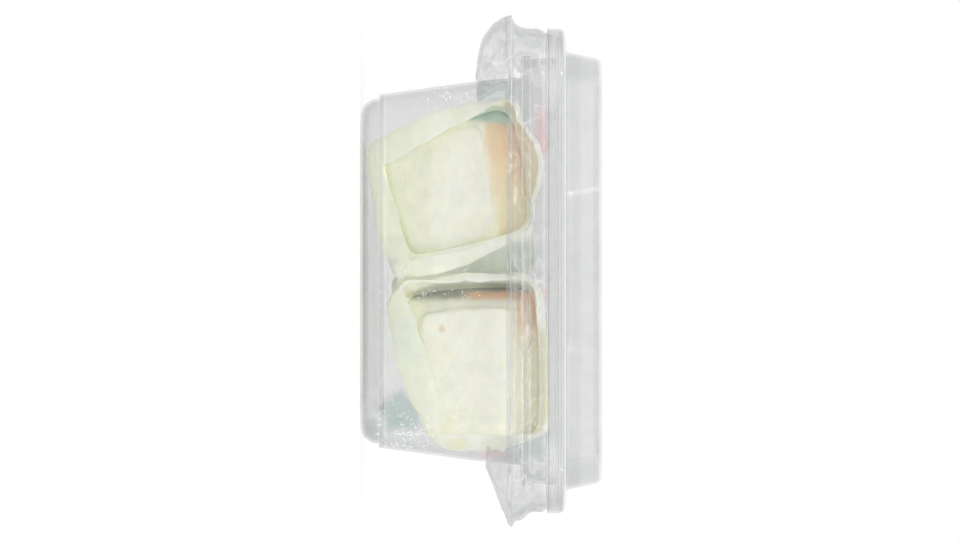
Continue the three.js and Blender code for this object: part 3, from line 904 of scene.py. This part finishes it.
def wrap_stations(shape, seed):
    narrow = shrink(soft_outline(*shape["section"]), -WRAP_SHEET)
    neck = shrink(soft_outline(*shape["throat"]), -WRAP_SHEET)
    front, back = soft_outline(*shape["mouth"]), soft_outline(*shape["rear"])
    lip, rear_end = ragged_lip(shape, front, seed), shape["rear_end"]
    rows = [(rear_end + WRAP_FLARE * way, narrow, back, share) for way, share in REAR_FLARE]
    rows.append((PORTION_SHOULDER, narrow, front, 0.0))
    rows += [(WRAP_FRONT - WRAP_FLARE * way, neck, front, share) for way, share in FRONT_FLARE]
    rows += [(WRAP_FRONT + WRAP_CURL * way, front, lip, share) for way, share in LIP_CURL]
    return between([(forward, blend(a, b, t)) for forward, a, b, t in rows], WRAP_STEP)


def wrap_rings(forward, outline, ends, seed):
    """The wrap's outer and inner ring at one place, folded more and uneven at its ends."""
    rings = ([], [])
    for point, left in zip(outline, left_normals(outline, loop=True)):
        spot, flat_spot = (point.x, forward, point.y), (point.x, 0, point.y)
        fold = soft_noise(spot, 9.0, seed) * 0.45 + soft_noise(spot, 3.0, seed + 4) * 0.28
        reach = 0.03 * soft_noise(flat_spot, 8.0, seed + 9)
        reach = 1 + (reach + 0.012 * soft_noise(flat_spot, 2.4, seed)) * ends
        for ring, depth in zip(rings, (0, WRAP_SHEET)):
            place = point + left * (depth - fold * mix(0.08, 1.0, ends))
            ring.append((place.x, -forward * reach, place.y))
    return rings


def make_wrap(name, shape, colour_at, share_at, node, seed):
    rear_end = shape["rear_end"]
    pairs = []
    for forward, outline in wrap_stations(shape, seed):
        front = smooth(WRAP_FRONT - 5, WRAP_FRONT, forward)
        ends = max(front, smooth(rear_end + 9, rear_end, forward))
        pairs.append(wrap_rings(forward, outline, ends, seed))
    outer, inner = [ring for ring, _ in pairs], [ring for _, ring in reversed(pairs)]
    wrap = new_mesh(name, *skin(outer + inner, loop=True), sharp=60)
    outside, inside = [p for ring in outer for p in ring], [p for ring in inner for p in ring]
    colours = [wrap_outside(*p) for p in outside] + [colour_at(*p) for p in inside]
    store(wrap, "wrap_colour", colours)
    lights = [outer_light(*p) for p in outside] + [inner_light(*p, share_at(*p)) for p in inside]
    store_shares(wrap, "painted_glow", lights)
    dress(wrap, wrap_look, "wrap", node)


# --- the portions' and the wraps' colours, painted shade and painted glow
# Green painted shade in the upper left corner inside the left wrap, as (middle, reach)
LEFT_CORNER = (-46.6, 37.5), (3.2, 9.0)


def above(x, z, start, end):
    """How far a point lies to the left of the line from start to end, seen from the front."""
    a, b = Vector(start), Vector(end)
    along = (b - a).normalized()
    away = Vector((x, z)) - a
    return along.x * away.y - along.y * away.x


def over_face(x, z, shape):
    """How far a point lies above the top edge of a portion's face."""
    corners = shape["face"][0]
    return above(x, z, corners[2], corners[1])


def warm_at(x, shape):
    other, start, end = shape["warm"]
    return tint(ORANGE, other, smooth(start, end, x))


def cream_at(x, y, z):
    """The cheese's own colour, deeper in uneven patches and duller low down."""
    broad = smooth(0.05, 0.5, soft_noise((x, y, z), 5.5, 31.0))
    fine = smooth(0.1, 0.6, soft_noise((x, y, z), 1.5, 37.0))
    high = tint(CREAM, CREAM_DEEP, 0.24 * broad + 0.32 * fine)
    return tint(high, CREAM_LOW, smooth(24, 14, z + x * 0.12) * (0.75 + 0.25 * broad))


def left_colour(x, y, z):
    ragged = soft_noise((x, y, z), 3.0, 41.0) * 0.8
    top = smooth(-0.4, 1.6, over_face(x, z, LEFT) + ragged)
    # Green painted shade on the upper left side, in the recess between the portion and its wrap
    side = smooth(-0.5, 0.9, above(x, z, (-44.6, 30.0), (-42.0, 46.0)) + ragged * 0.5)
    colour = tint(cream_at(x, y, z), warm_at(x, LEFT), top)
    return tint(colour, GREEN_SHADE, side * smooth(28, 33, z) * (1 - smooth(46, 49, z)))


def dark_side(x, z, ragged):
    """The colour of the right portion's left side and its share: rust near the face, and then
    painted shade of the hollow beside the portion, dark above, grey-green below and dull yellow at
    the foot."""
    past = above(x, z, (8.9, 17.0), (8.8, 45.0)) + ragged * 0.6
    dark = smooth(33, 40, z + ragged * 3) * (1 - 0.5 * smooth(43.5, 46, z))
    deep = tint(DULL_YELLOW, tint(SHADE_GREY_GREEN, SHADE_DARK_GREEN, dark), smooth(13.5, 17, z))
    warm = smooth(27, 35, z + ragged * 2) * (1 - smooth(2, 3.4, past))
    return tint(deep, RUST, warm), smooth(-0.4, 1.8, past) * smooth(11.5, 14, z)


def right_colour(x, y, z):
    spot = 0.8 * inside_ellipse(x, z, (16.8, 23.8), (1.6, 1.3))
    top = 0.9 * smooth(-0.2, 1.4, over_face(x, z, RIGHT))
    colour = tint(tint(cream_at(x, y, z), SPOT, spot), warm_at(x, RIGHT), top)
    # Its left side gets the painted shade of the hollow beside it
    return tint(colour, *dark_side(x, z, soft_noise((x, y, z), 3.0, 47.0) * 0.8))


def wrap_colour(x, y, z):
    """Pale paper, greener lower down and in soft uneven patches, with a painted highlight along its
    front edge, and dull along the right wrap's top."""
    patch = soft_noise((x, y, z), 7.0, 53.0) + 0.5 * soft_noise((x, y, z), 2.2, 59.0)
    low = mix(smooth(36, 8, z), 1.0, 0.6 * smooth(-0.3, 0.6, patch))
    # The front edge gets a painted highlight
    colour = tint(tint(WRAP, WRAP_LOW, low), PAINTED_LIP_HIGHLIGHT, smooth(-36.8, -38, y))
    dull = smooth(50.5, 52, z) * smooth(14, 20, x) * smooth(46, 42, x)
    return tint(colour, DULL_TOP, dull)


def wrap_outside(x, y, z):
    """Outside, the wraps are in shade where they face each other and below the place where they
    meet, and the right one has a yellow and a mint patch."""
    gap = 1 - smooth(3, 7, abs(x + 2.5 - (34 - z) * 0.12))
    shade = tint(GAP_SHADE, HIGH_SHADE, smooth(42, 47, z))
    colour = tint(wrap_colour(x, y, z), shade, gap * smooth(-33, -30, y) * smooth(24, 34, z))
    below = smooth(11, 9.6, z) * smooth(-5, -2, x) * smooth(7, 4, x)
    colour = tint(colour, GAP_SHADE, 0.9 * below)
    front = smooth(-30, -33, y)
    colour = tint(colour, YELLOW, 0.8 * front * inside_ellipse(x, z, (50.4, 28.5), (1.5, 5.0)))
    return tint(colour, MINT, front * inside_ellipse(x, z, (21.0, 13.5), (9.5, 5.5)))


def over_top(x, z, shape):
    """1 where a wrap's top is tinted like the cheese below it, and 0 below its line."""
    return smooth(-0.5, 1, above(x, z, *shape["top_line"]))


def warm_inside(x, y, z, shape):
    """A wrap's inside with its tinted top, which is pale again at the lip."""
    top = over_top(x, z, shape) * smooth(-36.5, -34, y)
    return tint(wrap_colour(x, y, z), warm_at(x, shape), top)


def left_inside(x, y, z):
    colour = warm_inside(x, y, z, LEFT)
    # Lime painted shade in the strip between the wraps and in the fold above the bottom flap
    colour = tint(colour, LIME_SHADE, 0.8 * inside_ellipse(x, z, (0.8, 21.0), (3.4, 11.0)))
    colour = tint(colour, LIME_SHADE, 0.7 * inside_ellipse(x, z, (-10.0, 12.4), (13.0, 1.9)))
    # Green painted shade in the upper left corner
    return tint(colour, GREEN_SHADE, inside_ellipse(x, z, *LEFT_CORNER) * smooth(-34, -31.6, y))


def right_inside(x, y, z):
    side, share = dark_side(x, z, 0.0)
    # The wrap's inside next to the portion's left side gets the same painted shade
    share *= (1 - smooth(8, 10.5, x)) * smooth(-34.4, -31.6, y)
    return tint(warm_inside(x, y, z, RIGHT), side, share)


def left_shaded(x, _, z):
    """How far a place in a wrap belongs to its tinted top or its corner of painted shade."""
    return max(over_top(x, z, LEFT), inside_ellipse(x, z, *LEFT_CORNER))


def right_shaded(x, _, z):
    top = over_top(x, z, RIGHT) * (1 - 0.6 * smooth(13, 18, x))
    return max(top, dark_side(x, z, 0.0)[1] * (1 - smooth(8, 10.5, x)))


# Painted glow, as a share of their own colour: emission that lifts the shade in the portions'
# sides, edges and crevices and in the wraps' hollows
def cheese_light(y, pale, more):
    """Painted glow in a portion's sides and edge, and more in the pale part of its face."""
    return 0.12 * smooth(30.6, 28, abs(y)) + pale * (0.10 * smooth(30.95, 30.2, abs(y)) + more)


def left_light(x, y, z):
    return cheese_light(y, 1 - smooth(-0.4, 1.6, over_face(x, z, LEFT)), 0.0)


def right_light(x, y, z):
    corners = RIGHT["face"][0]
    pale = 1 - smooth(-0.2, 1.4, over_face(x, z, RIGHT))
    # Painted glow beside the face's left edge, and near its top and right edges where the wrap's
    # shade falls
    side = smooth(-0.5, 0.5, above(x, z, corners[3], corners[2])) * (1 - dark_side(x, z, 0.0)[1])
    front = smooth(-28, -30, y) * (0.13 * smooth(36, 43.5, z) + 0.16 * smooth(42.5, 47.5, x))
    return cheese_light(y, pale, 0.02 + front + 0.05 * side)


def wrap_light(x, y, z):
    front = smooth(-31, -33.5, y) * smooth(12, 22, z) * smooth(2, 8, abs(x))
    return 0.07 * smooth(32, 29.5, abs(y)) + 0.04 * front


def outer_light(x, y, z):
    """Painted glow outside the wraps, with more in the narrow space low down between them."""
    low = (1 - smooth(1.5, 3, abs(x - 1.0))) * smooth(30, 26, z) * smooth(-10, -18, y)
    edge = (1 - smooth(1.5, 3.5, abs(x - 0.8))) * smooth(-29, -31, y) * smooth(26, 30, z)
    return wrap_light(x, y, z) + 0.08 * (low + edge)


def inner_light(x, y, z, shaded):
    """Painted glow inside the wraps, with more in the hollow behind each turned-in flap."""
    hollow = smooth(-29, -30.5, y) * smooth(-35.6, -33, y) * (1 - shaded)
    return wrap_light(x, y, z) + 0.15 * hollow


# --- drops of condensation
DROP_RINGS, DROP_SIDES, DROP_SEED = 4, 10, 7
DROP_SPREAD, DROP_SIZE, DROP_FLATNESS, DROP_SAG = 0.55, 0.8, 0.55, 1.1
# Clusters on the inside of the front wall, as (middle, spread, how many, largest radius)
DROP_CLUSTERS = [
    ((-50.5, 27.5), (2.6, 7.0), 46, 0.42),
    ((-49.0, 20.0), (2.0, 3.0), 16, 0.34),
    ((41.5, 13.0), (6.0, 3.6), 48, 0.42),
    ((46.0, 18.5), (3.0, 2.6), 22, 0.46),
    ((42.0, 5.9), (9.0, 0.9), 30, 0.5),
    ((0.9, 12.0), (2.0, 1.3), 24, 0.5),
    ((5.9, 18.5), (1.9, 4.6), 30, 0.44),
    ((-0.4, 31.5), (1.2, 1.6), 10, 0.34),
    ((10.0, 6.2), (24.0, 0.8), 26, 0.34),
    ((47.6, 13.0), (0.5, 9.0), 60, 0.34),
    ((51.0, 12.5), (1.4, 8.0), 60, 0.3),
    ((46.0, 15.0), (5.0, 3.0), 50, 0.32),
    ((6.8, 27.0), (2.2, 9.0), 26, 0.34),
]


def wall_front(z):
    """The place along Y of the inside of the front wall at a height."""
    if z < STEP_TOP:
        half = mix(STEP_HALF - STEP_SHELF, STEP_HALF, smooth(FOOT_TOP - 1.5, STEP_TOP, z))
    else:
        half = mix(STEP_HALF, WALL_BREAK_HALF, (z - STEP_TOP) / (WALL_BREAK - STEP_TOP))
    return -(half - WALL_INSET) + SHEET


def add_drop(points, faces, x, z, radius):
    """Adds a flat bead that stands on the wall, with its last point a little inside the wall."""
    y, start = wall_front(z), len(points)
    points.append((x, y + radius * DROP_FLATNESS, z))
    for k in range(1, DROP_RINGS + 1):
        angle = k / DROP_RINGS * math.pi * 0.55
        across, out = radius * math.sin(angle), radius * DROP_FLATNESS * math.cos(angle)
        for j in range(DROP_SIDES):
            turn = j / DROP_SIDES * math.tau
            drawn = across * math.sin(turn) * DROP_SAG
            points.append((x + across * math.cos(turn), y + out, z + drawn))
    points.append((x, y - 0.1, z))
    last = start + 1 + (DROP_RINGS - 1) * DROP_SIDES
    for j in range(DROP_SIDES):
        after = (j + 1) % DROP_SIDES
        faces.append((start, start + 1 + after, start + 1 + j))
        for low in range(start + 1, last, DROP_SIDES):
            high = low + DROP_SIDES
            faces.append((low + j, low + after, high + after, high + j))
        faces.append((len(points) - 1, last + j, last + after))


def make_drops():
    draw = random.Random(DROP_SEED)
    points, faces = [], []
    for (x0, z0), (spread_x, spread_z), count, largest in DROP_CLUSTERS:
        for _ in range(count):
            x, z = draw.gauss(x0, spread_x * DROP_SPREAD), draw.gauss(z0, spread_z * DROP_SPREAD)
            radius = DROP_SIZE * largest * draw.uniform(0.35, 1.0) ** 1.6
            add_drop(points, faces, x, max(z, FOOT_TOP - 0.6), radius)
    drops = new_mesh("condensation", points, faces, sharp=80)
    drops.data.materials.append(water_material())
    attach(drops, "root")


make_tray()
make_lid()
make_film()
make_cheese("cheese_block_left", LEFT, left_colour, left_light, "cheese_left")
make_cheese("cheese_block_right", RIGHT, right_colour, right_light, "cheese_right")
make_wrap("wrap_sheet_left", LEFT, left_inside, left_shaded, "wrap_left", 1.0)
make_wrap("wrap_sheet_right", RIGHT, right_inside, right_shaded, "wrap_right", 6.0)
make_drops()


# --- floor, light and camera
# The radii are in metres, and the floor lies just below the pack
FLOOR_SIDES, FLOOR_RADII, FLOOR_Z, FLOOR_GLOW = 64, [0.3, 1.0, 3.0, 10.0, 30.0], -0.02, 0.85
LIGHT_AIM = Vector((0, 0, 0.035))


def make_floor():
    turns = [k / FLOOR_SIDES * math.tau for k in range(FLOOR_SIDES)]
    points = [(math.cos(turn) * radius / MM, math.sin(turn) * radius / MM, FLOOR_Z)
              for radius in FLOOR_RADII for turn in turns] + [(0, 0, FLOOR_Z)]
    middle = len(points) - 1
    faces = [(middle, j, (j + 1) % FLOOR_SIDES) for j in range(FLOOR_SIDES)]
    for low in range(0, middle - FLOOR_SIDES, FLOOR_SIDES):
        high = low + FLOOR_SIDES
        for _, j, after in faces[:FLOOR_SIDES]:
            faces.append((low + j, high + j, high + after, low + after))
    floor = new_mesh("floor", points, faces)
    look, tree = new_material("pale_floor")
    shade = add_range(tree, add_noise(tree, 3.0), 0.3, 0.7, 0.90, 0.93)
    colour = add(tree, "CombineColor", {0: shade, 1: shade, 2: shade})
    matte = add(tree, "BsdfDiffuse", {"Color": colour})
    glow = add(tree, "Emission", {"Color": WHITE, "Strength": 1.0})
    set_surface(tree, add_blend(tree, FLOOR_GLOW, matte, glow))
    floor.data.materials.append(look)


def add_area(name, place, size, power, mirrored=True):
    """A light that the camera doesn't see, with its place and size in metres and power in watts."""
    light = bpy.data.lights.new(name, "AREA")
    light.shape = "RECTANGLE"
    light.size, light.size_y = size
    light.energy = power
    made = new_object(name, light)
    made.location = place
    made.rotation_euler = (LIGHT_AIM - Vector(place)).to_track_quat("-Z", "Y").to_euler()
    made.visible_camera = False
    made.visible_glossy = mirrored


def make_light():
    world = bpy.data.worlds.new("studio")
    scene.world = world
    world.use_nodes = True
    backdrop = world.node_tree.nodes["Background"].inputs
    backdrop["Color"].default_value = WHITE
    backdrop["Strength"].default_value = 1.0
    sun = bpy.data.lights.new("sky_wash", "SUN")
    sun.energy = 0.3
    sun.angle = math.radians(60)
    new_object("sky_wash", sun).rotation_euler = (math.radians(20), math.radians(-15), 0)
    add_area("strip_top", (0, -0.45, 0.7), (0.9, 0.03), 0.5)
    add_area("softbox_front", (0.5, -2.0, 0.8), (2.0, 1.4), 26.0, mirrored=False)


# The photo is turned a quarter: its right is the pack's top and its bottom the pack's right
PHOTO_WIDTH_PX, PHOTO_HEIGHT_PX = 960, 540
FOOT_PX, MIDDLE_PX, MM_PER_PX = 360, 271, 0.29167
SCALE_PLANE_Y, CAMERA_AWAY, SENSOR = -38.0, 3000.0, 36.0


def make_camera():
    data = bpy.data.cameras.new("camera")
    data.sensor_width = SENSOR
    data.lens = SENSOR * CAMERA_AWAY / (PHOTO_WIDTH_PX * MM_PER_PX)
    data.clip_start, data.clip_end = 0.1, 100
    camera = new_object("camera", data)
    up_the_pack = (PHOTO_WIDTH_PX / 2 - FOOT_PX) * MM_PER_PX
    across = (PHOTO_HEIGHT_PX / 2 - MIDDLE_PX) * MM_PER_PX
    turned = Matrix(((0, -1, 0), (0, 0, -1), (1, 0, 0))).to_4x4()
    place = Vector((across, SCALE_PLANE_Y - CAMERA_AWAY, up_the_pack)) * MM
    camera.matrix_world = Matrix.Translation(place) @ turned
    scene.camera = camera


scene = bpy.context.scene
make_floor()
make_light()
make_camera()
scene.view_settings.view_transform = "Standard"
scene.cycles.transparent_max_bounces = 64
scene.cycles.max_bounces = 16
